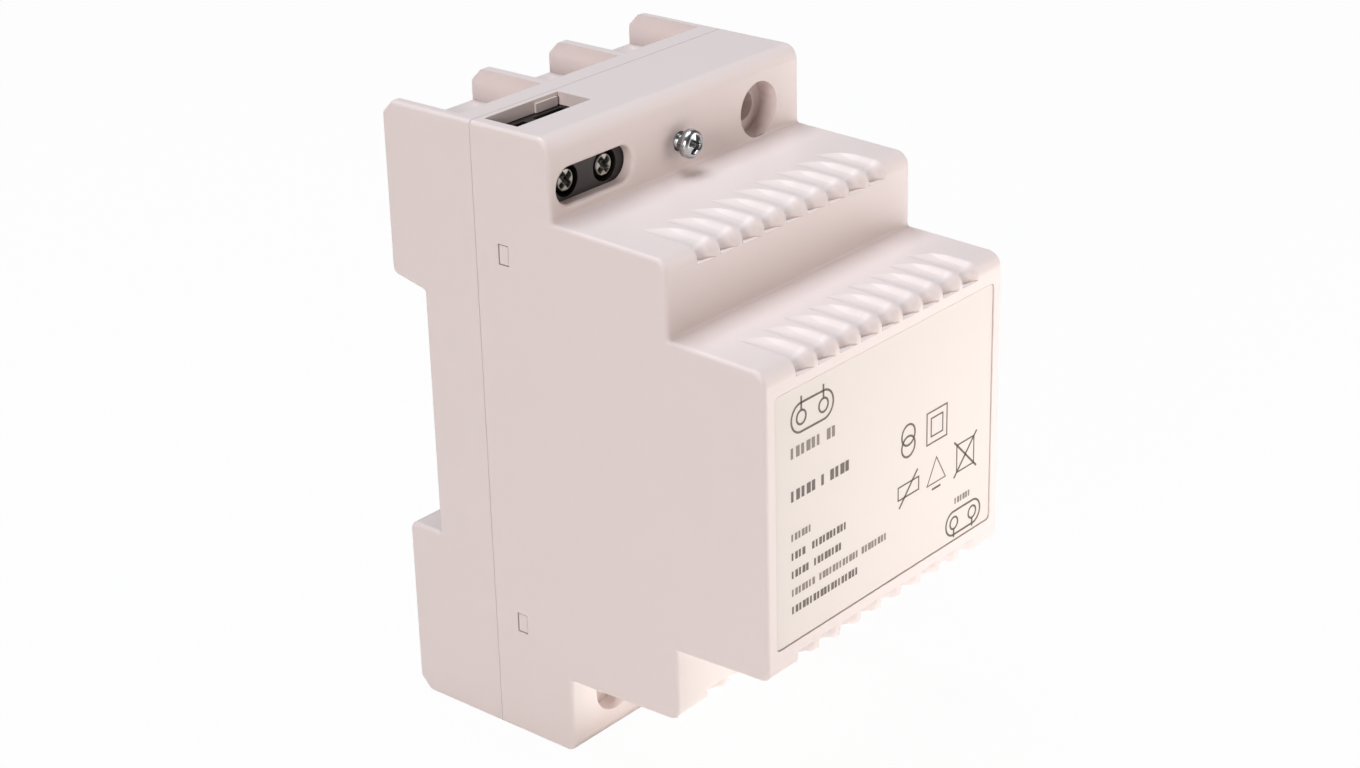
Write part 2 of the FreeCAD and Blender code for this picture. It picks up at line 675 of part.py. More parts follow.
def make_cover():
    body = new_body("cover")
    shell = sketch_on(body, "YZ_Plane")
    outline(shell, both_halves(
        step_corners("front_depth", COVER_BACK, "0", "corner_radius", "root_radius"),
        step_corners("front_depth", COVER_BACK, "0", "lower_corner_radius", "root_radius")))
    pad(body, shell, "width", symmetric=True)
    half = number(HALF_WIDTH)
    parting = number(y_at(COVER_BACK))

    def outer_side(edge, middle):
        return abs(abs(middle.x) - half) < 1e-6 and middle.y < parting - 1e-6

    round_edges(body, "side_radius", outer_side)

    hollow = sketch_on(body, "YZ_Plane")
    inner = step_corners("front_depth - wall", "base_depth - overcut", "wall", INNER_RADIUS, "root_radius + wall")
    outline(hollow, both_halves(inner, inner))
    pocket(body, hollow, f"2 * {INNER_HALF}", symmetric=True)

    # Counterbored wall fixing holes, each in a boss
    bosses = sketch_on(body, "XZ_Plane", out_at("terminal_depth - wall / 2"))
    bores = sketch_on(body, "XZ_Plane", out_at("terminal_depth"))
    holes = sketch_on(body, "XZ_Plane", out_at("terminal_depth"))
    for sign in FIXING_SIGNS:
        place = (f"{sign} * {FIXING_X}", f"{sign} * {FIXING_Z}")
        circle(bosses, *place, "fixing_counterbore / 2 + fixing_boss_wall")
        circle(bores, *place, "fixing_counterbore / 2")
        circle(holes, *place, "fixing_hole / 2")
        circle(holes, "0", place[1], "screw_thread / 2 + screw_cover_clearance / 2")
    pad(body, bosses, "wall / 2 + fixing_counterbore_depth", reverse=True)
    pocket(body, bores, "fixing_counterbore_depth")
    pocket(body, holes, "wall + fixing_counterbore_depth + overcut")

    # Screwdriver slots in the step faces and wire windows in the top and bottom
    slots = sketch_on(body, "XZ_Plane", out_at("terminal_depth"))
    for sign in FIXING_SIGNS:
        round_slot(slots, f"-{sign} * {FIXING_X}", f"{sign} * {FIXING_Z}", "slot_length", "slot_height")
    pocket(body, slots, "wall + overcut / 2")
    face_y = number(y_at("terminal_depth"))
    slot_x = number(f"{FIXING_X} - slot_length / 2") - 1e-3
    slot_z = number(f"{FIXING_Z} - slot_height / 2") - 1e-3

    def slot_rim(edge, middle):
        on_face = all(abs(vertex.Y - face_y) < 1e-6 for vertex in edge.Vertexes)
        return on_face and abs(middle.z) > slot_z and middle.x * middle.z < 0 and abs(middle.x) > slot_x

    round_edges(body, "slot_radius", slot_rim)
    for sign in FIXING_SIGNS:
        window = sketch_on(body, "XY_Plane", f"{sign} * {HALF_HEIGHT}")
        rectangle(window, f"-{sign} * {FIXING_X} - window_length / 2", f"-{sign} * {FIXING_X} + window_length / 2",
                  y_at("window_front"), y_at("window_back"))
        pocket(body, window, "wall + overcut / 2", reverse=sign < 0)
        tongue = sketch_on(body, "XY_Plane", f"{sign} * ({HALF_HEIGHT} - window_tongue_drop)")
        inner_end = f"(-{FIXING_X} + window_length / 2 - window_tongue_inset)"
        rectangle(tongue, f"{sign} * {inner_end} - (1 + {sign}) / 2 * window_tongue",
                  f"{sign} * {inner_end} + (1 - {sign}) / 2 * window_tongue",
                  y_at("window_back + window_tongue_thickness"), y_at(f"{COVER_BACK} + parting_gap"))
        pad(body, tongue, "wall - window_tongue_drop", reverse=sign > 0)

    # Windows for the snap nubs
    snaps = sketch_on(body, "YZ_Plane")
    for sign in (1, -1):
        rectangle(snaps, y_at("snap_back + snap_window_depth"), y_at("snap_back"),
                  f"{sign} * snap_height - snap_window_height / 2", f"{sign} * snap_height + snap_window_height / 2")
    pocket(body, snaps, "width + overcut", symmetric=True)

    # Pads that hold the core down
    pads = sketch_on(body, "XZ_Plane", out_at("shoulder_depth - wall / 2"))
    pad_z = f"({FRONT_HALF} - wall + core_pad_gap + core_pad_height / 2)"
    for side_sign, up_sign in CORNER_SIGNS:
        centred(pads, f"{side_sign} * core_pad_x", f"{up_sign} * {pad_z}", "core_pad_width", "core_pad_height")
    pad(body, pads, f"shoulder_depth - wall / 2 - {CORE_FRONT} - seat_gap", reverse=True)

    recess = sketch_on(body, "XZ_Plane", out_at("front_depth"))
    rectangle(recess, f"-{LABEL_HALF_WIDTH}", LABEL_HALF_WIDTH, f"-{LABEL_HALF_HEIGHT}", LABEL_HALF_HEIGHT,
              "label_radius")
    pocket(body, recess, "label_recess")
    cut_louvres(body)
    return node(body)


def make_label():
    body = new_body("front_label")
    film = sketch_on(body, "XZ_Plane", out_at("front_depth - label_recess"))
    rectangle(film, f"-{LABEL_HALF_WIDTH} + label_clearance", f"{LABEL_HALF_WIDTH} - label_clearance",
              f"-{LABEL_HALF_HEIGHT} + label_clearance", f"{LABEL_HALF_HEIGHT} - label_clearance",
              "label_radius - label_clearance")
    pad(body, film, "label_thickness")
    return node(body)


# Sliding latch that grips the lower lip of the rail

def make_latch():
    body = new_body("rail_latch")
    side = sketch_on(body, "YZ_Plane")
    bar_top = "-(notch_low + latch_clearance)"
    bar_low = f"(latch_inset - {HALF_HEIGHT})"
    bar_front = "(latch_back + latch_thickness)"
    outline(side, [
        (y_at("latch_back"), bar_low),
        (y_at("latch_back"), "-hook_reach - 2 * hook_lead"),
        (y_at("latch_back + hook_lead"), "-hook_reach"),
        (y_at(HOOK_FRONT), "-hook_reach"),
        (y_at(HOOK_FRONT), bar_top),
        (y_at(bar_front), bar_top),
        (y_at(bar_front), bar_low),
    ])
    pad(body, side, "latch_width", symmetric=True)
    wings = sketch_on(body, "XZ_Plane", out_at("latch_wing_back"))
    rectangle(wings, f"-{WING_HALF}", WING_HALF, bar_low, bar_top)
    pad(body, wings, "latch_wing_thickness")
    slot = sketch_on(body, "XZ_Plane", out_at(bar_front))
    rectangle(slot, "-latch_slot_width / 2", "latch_slot_width / 2", f"{bar_low} + latch_slot_margin",
              f"{bar_low} + latch_slot_margin + latch_slot_height")
    pocket(body, slot, "latch_thickness + overcut")
    return node(body)


# Screws, revolved about their own axes

def make_cover_screws():
    body = new_body("upper_cover_screw")
    profile = sketch_on(body, "YZ_Plane", "0", y_at("terminal_depth + screw_stand"), FIXING_Z)
    shank = "(screw_thread / 2)"
    reach = "(screw_stand + wall + screw_length - overcut)"
    outline(profile, [
        ("-screw_head_height", "0"),
        (reach, "0"),
        (f"{reach} - screw_tip", shank),
        ("0", shank),
        ("0", "screw_head / 2"),
        ("-screw_head_height + screw_head_bevel", "screw_head / 2"),
        ("-screw_head_height", "screw_head / 2 - screw_head_bevel"),
    ])
    revolve(body, profile)
    return node(group("cover_screws", [body, mirrored(body, "lower_cover_screw", (0, 0, 1))]))


BLOCK_FRONT = "(terminal_depth - wall - seat_gap)"
BLOCK_BACK = "(base_depth + parting_gap + seat_gap)"
BLOCK_TOP = "(height / 2 - wall - seat_gap)"
CLAMP_FRONT = "(clamp_back + clamp_depth)"
BLOCK_LOW = f"({FIXING_Z} - block_foot)"
CLAMP_TOP = f"({FIXING_Z} + clamp_height / 2)"
CLAMP_LOW = f"({FIXING_Z} - clamp_height / 2)"
FIRST_TERMINAL = f"(-{FIXING_X} - pitch / 2)"
SECOND_TERMINAL = f"(-{FIXING_X} + pitch / 2)"


def make_terminal_block():
    body = new_body("primary_terminal_block")
    # The block stays clear of the side wall
    outer = f"max(-{FIXING_X} - block_width / 2; -(width / 2 - wall - seat_gap))"
    block = sketch_on(body, "YZ_Plane", outer)
    outline(block, [
        (y_at(BLOCK_BACK), BLOCK_LOW),
        (y_at(BLOCK_FRONT), BLOCK_LOW),
        (y_at(BLOCK_FRONT), BLOCK_TOP, INNER_RADIUS),
        (y_at(BLOCK_BACK), BLOCK_TOP),
    ])
    pad(body, block, f"-{FIXING_X} + block_width / 2 - {outer}")
    wells = sketch_on(body, "XZ_Plane", out_at(BLOCK_FRONT))
    entries = sketch_on(body, "XY_Plane", BLOCK_TOP)
    cavities = sketch_on(body, "XY_Plane", BLOCK_LOW)
    for place in (FIRST_TERMINAL, SECOND_TERMINAL):
        circle(wells, place, FIXING_Z, "well / 2")
        rectangle(entries, f"{place} - entry_width / 2", f"{place} + entry_width / 2",
                  y_at("window_front"), y_at("window_back + entry_wall"))
        rectangle(cavities, f"{place} - clamp_width / 2 - clamp_clearance",
                  f"{place} + clamp_width / 2 + clamp_clearance",
                  y_at(f"{CLAMP_FRONT} + clamp_clearance"), y_at("clamp_back - clamp_clearance"))
    pocket(body, cavities, f"{CLAMP_TOP} + clamp_clearance - {BLOCK_LOW}", reverse=True)
    pocket(body, wells, f"{BLOCK_FRONT} - {CLAMP_FRONT}")
    pocket(body, entries, f"{BLOCK_TOP} - {CLAMP_TOP}")
    return body


def make_clamp():
    # Rectangular clamp: a cage round the wire, tapped at the front, with a solder tail below
    body = new_body("first_terminal_clamp")
    cage = sketch_on(body, "XY_Plane", CLAMP_LOW)
    rectangle(cage, f"{FIRST_TERMINAL} - clamp_width / 2", f"{FIRST_TERMINAL} + clamp_width / 2",
              y_at(CLAMP_FRONT), y_at("clamp_back"))
    rectangle(cage, f"{FIRST_TERMINAL} - clamp_width / 2 + clamp_wall",
              f"{FIRST_TERMINAL} + clamp_width / 2 - clamp_wall",
              y_at(f"{CLAMP_FRONT} - clamp_nut"), y_at("clamp_back + clamp_wall"))
    pad(body, cage, "clamp_height")
    tail = sketch_on(body, "XY_Plane", CLAMP_LOW)
    rectangle(tail, f"{FIRST_TERMINAL} - tail_width / 2", f"{FIRST_TERMINAL} + tail_width / 2",
              y_at("clamp_back + clamp_wall"), y_at("clamp_back"))
    pad(body, tail, "tail_length", reverse=True)
    tapped = sketch_on(body, "XZ_Plane", out_at(CLAMP_FRONT))
    circle(tapped, FIRST_TERMINAL, FIXING_Z, "terminal_thread / 2 + seat_gap / 2")
    pocket(body, tapped, "clamp_nut + overcut / 2")
    return body


def make_terminal_screw():
    body = new_body("first_terminal_screw")
    head_front = f"({BLOCK_FRONT} - terminal_head_inset)"
    profile = sketch_on(body, "YZ_Plane", FIRST_TERMINAL, y_at(f"{head_front} - terminal_head_height"), FIXING_Z)
    shank = "(terminal_thread / 2)"
    outline(profile, [
        ("-terminal_head_height", "0"),
        ("terminal_screw_reach", "0"),
        ("terminal_screw_reach", shank),
        ("0", shank),
        ("0", "terminal_head / 2"),
        ("-terminal_head_height + terminal_head_bevel", "terminal_head / 2"),
        ("-terminal_head_height", "terminal_head / 2 - terminal_head_bevel"),
    ])
    revolve(body, profile)
    return body


def make_terminals():
    block = node(make_terminal_block())
    node(half_turn(block, "secondary_terminal_block"))
    for single, label in ((make_clamp(), "clamps"), (make_terminal_screw(), "screws")):
        second = mirrored(single, f"{single.Label}_pair", (1, 0, 0), f"-{FIXING_X}")
        pair = node(group(f"primary_terminal_{label}", [single, second]))
        node(half_turn(pair, f"secondary_terminal_{label}"))


# Transformer

BOBBIN_HALF_LENGTH = "(window_span / 2 - bobbin_clearance)"
TUBE_IN_Z = "(core_leg / 2 + bobbin_clearance)"
TUBE_IN_Y = "(core_stack / 2 + bobbin_clearance)"
TUBE_OUT_Z = f"({TUBE_IN_Z} + bobbin_wall)"
TUBE_OUT_Y = f"({TUBE_IN_Y} + bobbin_wall)"
FLANGE_Z = "(core_leg / 2 + window_width - bobbin_clearance)"
FLANGE_Y = "(core_stack / 2 + window_width - bobbin_clearance)"
WINDING_Z = f"({FLANGE_Z} - winding_margin)"
WINDING_Y = f"({FLANGE_Y} - winding_margin)"
COIL_BACK = f"({CORE_MIDDLE} - {FLANGE_Y})"
PIN_X = f"({BOBBIN_HALF_LENGTH} + pin_rail / 2)"


def ring(sketch, half_y, half_z, radius=None):
    rectangle(sketch, f"{y_at(CORE_MIDDLE)} - {half_y}", f"{y_at(CORE_MIDDLE)} + {half_y}",
              f"-{half_z}", half_z, radius)


def make_core():
    body = new_body("transformer_core")
    plate = sketch_on(body, "XZ_Plane", out_at("core_back"))
    rectangle(plate, "-core_height / 2", "core_height / 2", "-core_length / 2", "core_length / 2")
    for sign in (1, -1):
        centred(plate, "0", f"{sign} * (core_leg + window_width) / 2", "window_span", "window_width")
    pad(body, plate, "core_stack")
    return node(body)


def make_bobbin():
    body = new_body("coil_bobbin")
    tube = sketch_on(body, "YZ_Plane")
    ring(tube, TUBE_OUT_Y, TUBE_OUT_Z)
    ring(tube, TUBE_IN_Y, TUBE_IN_Z)
    pad(body, tube, f"2 * {BOBBIN_HALF_LENGTH}", symmetric=True)
    flange = sketch_on(body, "YZ_Plane", f"-{BOBBIN_HALF_LENGTH}")
    ring(flange, FLANGE_Y, FLANGE_Z)
    ring(flange, TUBE_IN_Y, TUBE_IN_Z)
    end = pad(body, flange, "flange")
    row = body.newObject("PartDesign::LinearPattern", "flange_row")
    row.Originals = [end]
    row.Direction = (origin_feature(body, "X_Axis"), [""])
    bind(row, "Length", f"2 * {BOBBIN_HALF_LENGTH} - flange")
    row.Occurrences = 3
    body.Tip = row
    doc.recompute()
    # Rails outside the end flanges, drilled for the pins
    rails = sketch_on(body, "XZ_Plane", out_at(COIL_BACK))
    holes = sketch_on(body, "XZ_Plane", out_at(COIL_BACK))
    for sign in (1, -1):
        centred(rails, f"{sign} * ({PIN_X} - flange / 2)", "0", "pin_rail + flange", "core_leg")
        for up_sign in (1, -1):
            circle(holes, f"{sign} * {PIN_X}", f"{up_sign} * pin_spacing / 2", "pin / 2 + pin_clearance")
    pad(body, rails, "pin_rail_depth")
    pocket(body, holes, "pin_root + pin_clearance", reverse=True)
    return node(body)


def make_pins():
    body = new_body("primary_pins")
    pins = sketch_on(body, "XZ_Plane", out_at(f"{COIL_BACK} - pin_reach"))
    for up_sign in (1, -1):
        circle(pins, f"-{PIN_X}", f"{up_sign} * pin_spacing / 2", "pin / 2")
    body.AllowCompound = True
    pad(body, pins, "pin_reach + pin_root")
    return node(group("bobbin_pins", [body, mirrored(body, "secondary_pins", (1, 0, 0))]))


def make_winding(label, sign, inner_y, inner_z, outer_y, outer_z, grow):
    # One ring of the coil between the middle flange and an end flange
    body = new_body(label)
    near = "(flange / 2 + winding_gap)"
    far = f"({BOBBIN_HALF_LENGTH} - flange - winding_gap)"
    section = sketch_on(body, "YZ_Plane", near if sign > 0 else f"-{far}")
    ring(section, outer_y, outer_z, f"winding_radius + {grow}")
    ring(section, inner_y, inner_z, f"{grow} + least_radius" if grow == "0" else "winding_radius + winding_gap / 2")
    pad(body, section, f"{far} - {near}")
    return node(body)


def make_coil():
    for name, sign in (("primary", -1), ("secondary", 1)):
        make_winding(f"{name}_winding", sign, f"({TUBE_OUT_Y} + winding_gap)", f"({TUBE_OUT_Z} + winding_gap)",
                     WINDING_Y, WINDING_Z, "0")
        make_winding(f"{name}_tape", sign, f"({WINDING_Y} + winding_gap / 2)", f"({WINDING_Z} + winding_gap / 2)",
                     f"({WINDING_Y} + winding_gap / 2 + tape)", f"({WINDING_Z} + winding_gap / 2 + tape)",
                     "winding_gap / 2 + tape")


def make_protector():
    # Resettable overload disc against the back of the primary winding
    body = new_body("overload_protector")
    disc_front = f"({CORE_MIDDLE} - {WINDING_Y} - winding_gap / 2 - tape - seat_gap)"
    disc = sketch_on(body, "XZ_Plane", out_at(f"{disc_front} - protector_thickness"))
    circle(disc, f"-{BOBBIN_HALF_LENGTH} / 2", "0", "protector_diameter / 2")
    pad(body, disc, "protector_thickness")
    return node(body)


# Insulated leads from the clamp tails to the pins of the bobbin

def make_lead(label, path):
    body = new_body(label)
    depth = "(clamp_back - lead / 2 - seat_gap)"
    spine = sketch_on(body, "XZ_Plane", out_at(depth))
    outline(spine, path, closed=False)
    section = sketch_on(body, "XY_Plane", path[0][1])
    circle(section, path[0][0], y_at(depth), "lead / 2")
    pipe(body, "AdditivePipe", section, spine)
    return body


def make_leads():
    start = f"({BLOCK_LOW} - seat_gap)"
    stop = "(pin / 2 + seat_gap)"
    low_pin = "(-pin_spacing / 2)"
    outer = make_lead("first_lead", [
        (FIRST_TERMINAL, start),
        (FIRST_TERMINAL, low_pin, "lead_bend"),
        (f"-{PIN_X} - {stop}", low_pin),
    ])
    inner = make_lead("second_lead", [
        (SECOND_TERMINAL, start),
        (SECOND_TERMINAL, f"pin_spacing / 2 + {stop}"),
    ])
    pair = node(group("primary_leads", [outer, inner]))
    node(half_turn(pair, "secondary_leads"))


def write_nodes():
    doc.recompute()
    for item in doc.Objects:
        if {"Invalid", "Error"} & set(item.State):
            raise RuntimeError(f"{item.Label} failed: {item.State}")
    for item in nodes:
        if item.Shape.isNull() or not item.Shape.isValid():
            raise RuntimeError(f"{item.Label} has no valid shape")
    os.makedirs("parts", exist_ok=True)
    for item in nodes:
        item.Shape.exportStep(f"parts/{item.Label}.step")
        print(item.Label, len(item.Shape.Solids), round(item.Shape.Volume, 1))


make_base()
make_cover()
make_label()
make_latch()
make_cover_screws()
make_terminals()
make_core()
make_bobbin()
make_coil()
make_pins()
make_protector()
make_leads()
write_nodes()
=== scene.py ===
import math

import bpy
import numpy as np
from mathutils import Matrix, Vector


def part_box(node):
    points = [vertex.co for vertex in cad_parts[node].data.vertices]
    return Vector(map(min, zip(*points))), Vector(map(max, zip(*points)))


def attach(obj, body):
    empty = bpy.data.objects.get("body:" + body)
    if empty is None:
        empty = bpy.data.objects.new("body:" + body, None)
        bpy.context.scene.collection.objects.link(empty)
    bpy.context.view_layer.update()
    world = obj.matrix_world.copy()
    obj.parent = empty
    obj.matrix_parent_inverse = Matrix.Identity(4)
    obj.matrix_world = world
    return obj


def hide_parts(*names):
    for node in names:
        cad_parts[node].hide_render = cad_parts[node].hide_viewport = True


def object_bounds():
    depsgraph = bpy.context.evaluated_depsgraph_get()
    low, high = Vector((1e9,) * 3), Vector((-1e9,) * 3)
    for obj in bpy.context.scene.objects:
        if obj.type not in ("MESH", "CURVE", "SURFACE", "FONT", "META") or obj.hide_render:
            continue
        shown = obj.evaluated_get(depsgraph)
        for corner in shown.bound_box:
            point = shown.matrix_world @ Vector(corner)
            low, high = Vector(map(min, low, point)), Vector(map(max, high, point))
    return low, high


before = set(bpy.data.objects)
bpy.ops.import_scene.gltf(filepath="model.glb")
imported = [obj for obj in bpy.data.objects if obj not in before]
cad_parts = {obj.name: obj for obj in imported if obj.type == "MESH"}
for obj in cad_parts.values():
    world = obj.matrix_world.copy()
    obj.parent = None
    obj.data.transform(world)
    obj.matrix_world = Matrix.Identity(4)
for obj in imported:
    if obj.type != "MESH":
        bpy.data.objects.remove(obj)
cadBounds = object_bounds()
mm = 0.001
print("frame loaded:", len(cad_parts), "nodes")


# Materials

def hexColour(text):
    # sRGB hex to linear red, green, blue and alpha
    parts = [int(text[i:i + 2], 16) / 255 for i in (1, 3, 5)]
    return [c / 12.92 if c <= 0.04045 else ((c + 0.055) / 1.055) ** 2.4 for c in parts] + [1.0]


def addNode(tree, kind, settings=None, **links):
    # New node; settings go to its properties or sockets, links join its sockets to other outputs
    node = tree.nodes.new(kind)
    for name, value in (settings or {}).items():
        if name in node.inputs:
            node.inputs[name].default_value = value
        else:
            setattr(node, name, value)
    for name, output in links.items():
        tree.links.new(output, node.inputs[name.replace("_", " ")])
    return node


def newMaterial(name, settings):
    material = bpy.data.materials.new(name)
    material.use_nodes = True
    tree = material.node_tree
    shader = tree.nodes["Principled BSDF"]
    for socket, value in settings.items():
        shader.inputs[socket].default_value = value
    return material, tree, shader


# ABS, injection moulded against a spark-eroded tool: an even, very fine matt grain
# and soft highlights on the edges
mouldedAbs = {
    "colour": "#e9dbd8",
    "roughness": 0.44,
    "ior": 1.52,
    "grain": 0.35 * mm,     # real grain is near 0.1 mm; drawn coarser so that it shows
    "grainHeight": 0.004 * mm,
    "grainStrength": 0.5,
    "edgeRound": 0.12 * mm,
}


def makeMouldedAbs():
    material, tree, shader = newMaterial("mouldedAbs", {
        "Base Color": hexColour(mouldedAbs["colour"]),
        "Roughness": mouldedAbs["roughness"],
        "IOR": mouldedAbs["ior"],
    })
    place = addNode(tree, "ShaderNodeTexCoord")
    grain = addNode(tree, "ShaderNodeTexNoise", {"Scale": 1 / mouldedAbs["grain"], "Detail": 2.0},
                    Vector=place.outputs["Object"])
    edge = addNode(tree, "ShaderNodeBevel", {"samples": 6, "Radius": mouldedAbs["edgeRound"]})
    bump = addNode(tree, "ShaderNodeBump",
                   {"Strength": mouldedAbs["grainStrength"], "Distance": mouldedAbs["grainHeight"]},
                   Height=grain.outputs["Fac"], Normal=edge.outputs["Normal"])
    tree.links.new(bump.outputs["Normal"], shader.inputs["Normal"])
    return material


# Polypropylene film, smooth printed: a little glossier than the housing around it
printedFilm = {"colour": "#e0d5cf", "roughness": 0.36, "ior": 1.49}


def makePrintedFilm():
    return newMaterial("printedFilm", {
        "Base Color": hexColour(printedFilm["colour"]),
        "Roughness": printedFilm["roughness"],
        "IOR": printedFilm["ior"],
    })[0]


# Screen ink, laid on thin: nearly matt, dark where solid and grey where it stands for thin strokes
screenInk = {"boldInk": "#5e4d46", "fineInk": "#83746c", "roughness": 0.5}


def makeScreenInk(name):
    return newMaterial(name, {
        "Base Color": hexColour(screenInk[name]),
        "Roughness": screenInk["roughness"],
    })[0]


# Filled resin, pressed: brown-black with a dull sheen
pressedResin = {"colour": "#211b1a", "roughness": 0.46, "ior": 1.55}


def makePressedResin():
    return newMaterial("pressedResin", {
        "Base Color": hexColour(pressedResin["colour"]),
        "Roughness": pressedResin["roughness"],
        "IOR": pressedResin["ior"],
    })[0]


# Steel, barrel plated with zinc and blue-passivated, with cloudy roughness; a darker copy is painted
# shade for the terminal screws in their slots, and the bottom of each cross recess gets painted shade, a
# darkened base colour that stands in for the shade there
platedSteel = {
    "zincPlatedSteel": {
        "colour": "#c2c6c8",
        "roughness": (0.2, 0.38),
        "cloud": 0.6 * mm,
        # painted shade: share of the base colour kept at the bottom of the cross recess
        "paintedRecessShade": 0.22,
    },
    # Painted shade: a darker copy of the zinc finish for the terminal screws, which sit in shaded slots
    "shadedZincSteel": {
        "colour": "#a6a69e",
        "roughness": (0.26, 0.44),
        "cloud": 0.5 * mm,
        "paintedRecessShade": 0.25,
    },
}


def makePlatedSteel(name):
    finish = platedSteel[name]
    material, tree, shader = newMaterial(name, {"Metallic": 1.0})
    # Painted shade: the cross recess mask darkens the base colour at the bottom of the recess
    paintedShadeMask = addNode(tree, "ShaderNodeAttribute", {"attribute_name": "recess"})
    shade = addNode(tree, "ShaderNodeMapRange",
                    {"To Min": 1.0, "To Max": finish["paintedRecessShade"]}, Value=paintedShadeMask.outputs["Fac"])
    tone = addNode(tree, "ShaderNodeHueSaturation", {"Color": hexColour(finish["colour"])},
                   Value=shade.outputs["Result"])
    tree.links.new(tone.outputs["Color"], shader.inputs["Base Color"])
    place = addNode(tree, "ShaderNodeTexCoord")
    cloud = addNode(tree, "ShaderNodeTexNoise", {"Scale": 1 / finish["cloud"], "Detail": 3.0},
                    Vector=place.outputs["Object"])
    low, high = finish["roughness"]
    rough = addNode(tree, "ShaderNodeMapRange", {"To Min": low, "To Max": high},
                    Value=cloud.outputs["Fac"])
    tree.links.new(rough.outputs["Result"], shader.inputs["Roughness"])
    return material


waveTurns = 2 * math.pi / 20    # scale of a wave texture whose bands are one unit apart

# Silicon steel, stamped in sheets and stacked along Y: dark, with a line at each sheet
stackedSteel = {
    "colour": "#5c5b5d",
    "roughness": 0.48,
    "sheet": 0.5 * mm,
    "lineDepth": 0.05 * mm,
    "lineStrength": 0.6,
}


def makeStackedSteel():
    material, tree, shader = newMaterial("stackedSteel", {
        "Base Color": hexColour(stackedSteel["colour"]),
        "Metallic": 1.0,
        "Roughness": stackedSteel["roughness"],
    })
    place = addNode(tree, "ShaderNodeTexCoord")
    sheets = addNode(tree, "ShaderNodeTexWave",
                     {"bands_direction": "Y", "Scale": waveTurns / stackedSteel["sheet"]},
                     Vector=place.outputs["Object"])
    bump = addNode(tree, "ShaderNodeBump",
                   {"Strength": stackedSteel["lineStrength"], "Distance": stackedSteel["lineDepth"]},
                   Height=sheets.outputs["Fac"])
    tree.links.new(bump.outputs["Normal"], shader.inputs["Normal"])
    return material


# Copper wire, enamelled and wound in layers along X: reddish, with a ridge at each turn
enamelledCopper = {
    "colour": "#b5642f",
    "roughness": 0.3,
    "enamel": 0.6,
    "enamelRoughness": 0.15,
    "wire": 0.4 * mm,
    "ridge": 0.12 * mm,
    "ridgeStrength": 0.8,
}


def makeEnamelledCopper():
    material, tree, shader = newMaterial("enamelledCopper", {
        "Base Color": hexColour(enamelledCopper["colour"]),
        "Metallic": 1.0,
        "Roughness": enamelledCopper["roughness"],
        "Coat Weight": enamelledCopper["enamel"],
        "Coat Roughness": enamelledCopper["enamelRoughness"],
    })
    place = addNode(tree, "ShaderNodeTexCoord")
    turns = addNode(tree, "ShaderNodeTexWave",
                    {"bands_direction": "X", "Scale": waveTurns / enamelledCopper["wire"]},
                    Vector=place.outputs["Object"])
    bump = addNode(tree, "ShaderNodeBump",
                   {"Strength": enamelledCopper["ridgeStrength"], "Distance": enamelledCopper["ridge"]},
                   Height=turns.outputs["Fac"])
    tree.links.new(bump.outputs["Normal"], shader.inputs["Normal"])
    return material


# Plain inner pieces: moulded nylon, polyester tape, tinned brass, dipped ceramic, extruded PVC
innerFinishes = {
    "mouldedNylon": {"Base Color": "#e9e6dc", "Roughness": 0.45, "IOR": 1.53},
    "polyesterTape": {"Base Color": "#dcb94a", "Roughness": 0.25, "IOR": 1.57},
    "tinnedBrass": {"Base Color": "#cfcac0", "Roughness": 0.3, "Metallic": 1.0},
    "dippedCeramic": {"Base Color": "#9a5a2c", "Roughness": 0.4, "IOR": 1.6},
    "brownPvc": {"Base Color": "#5d3a26", "Roughness": 0.4, "IOR": 1.53},
    "bluePvc": {"Base Color": "#2c4a8c", "Roughness": 0.4, "IOR": 1.53},
}


def makeInnerFinish(name):
    settings = dict(innerFinishes[name])
    settings["Base Color"] = hexColour(settings["Base Color"])
    return newMaterial(name, settings)[0]


finishes = {
    "mouldedAbs": makeMouldedAbs(),
    "printedFilm": makePrintedFilm(),
    "boldInk": makeScreenInk("boldInk"),
    "fineInk": makeScreenInk("fineInk"),
    "pressedResin": makePressedResin(),
    "zincPlatedSteel": makePlatedSteel("zincPlatedSteel"),
    "shadedZincSteel": makePlatedSteel("shadedZincSteel"),
    "stackedSteel": makeStackedSteel(),
    "enamelledCopper": makeEnamelledCopper(),
}
finishes.update({name: makeInnerFinish(name) for name in innerFinishes})

nodeFinish = {
    "base": "mouldedAbs",
    "cover": "mouldedAbs",
    "rail_latch": "mouldedAbs",
    "front_label": "printedFilm",
    "primary_terminal_block": "pressedResin",
    "secondary_terminal_block": "pressedResin",
    "primary_terminal_clamps": "zincPlatedSteel",
    "secondary_terminal_clamps": "zincPlatedSteel",
    "transformer_core": "stackedSteel",
    "coil_bobbin": "mouldedNylon",
    "primary_winding": "enamelledCopper",
    "secondary_winding": "enamelledCopper",
    "primary_tape": "polyesterTape",
    "secondary_tape": "polyesterTape",
    "bobbin_pins": "tinnedBrass",
    "overload_protector": "dippedCeramic",
    "primary_leads": "brownPvc",
    "secondary_leads": "bluePvc",
}


def dress(piece, finish):
    piece.data.materials.clear()
    piece.data.materials.append(finishes[finish])


for nodeName, finish in nodeFinish.items():
    dress(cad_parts[nodeName], finish)
print("materials set:", len(finishes))


# Meshes from arrays

def newPiece(name, points, faces, finish, smooth=True):
    mesh = bpy.data.meshes.new(name)
    mesh.from_pydata(points.tolist(), [], [list(face) for face in faces])
    mesh.polygons.foreach_set("use_smooth", np.full(len(faces), smooth))
    mesh.update()
    piece = bpy.data.objects.new(name, mesh)
    bpy.context.scene.collection.objects.link(piece)
    mesh.materials.append(finishes[finish])
    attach(piece, "housing")
    return piece


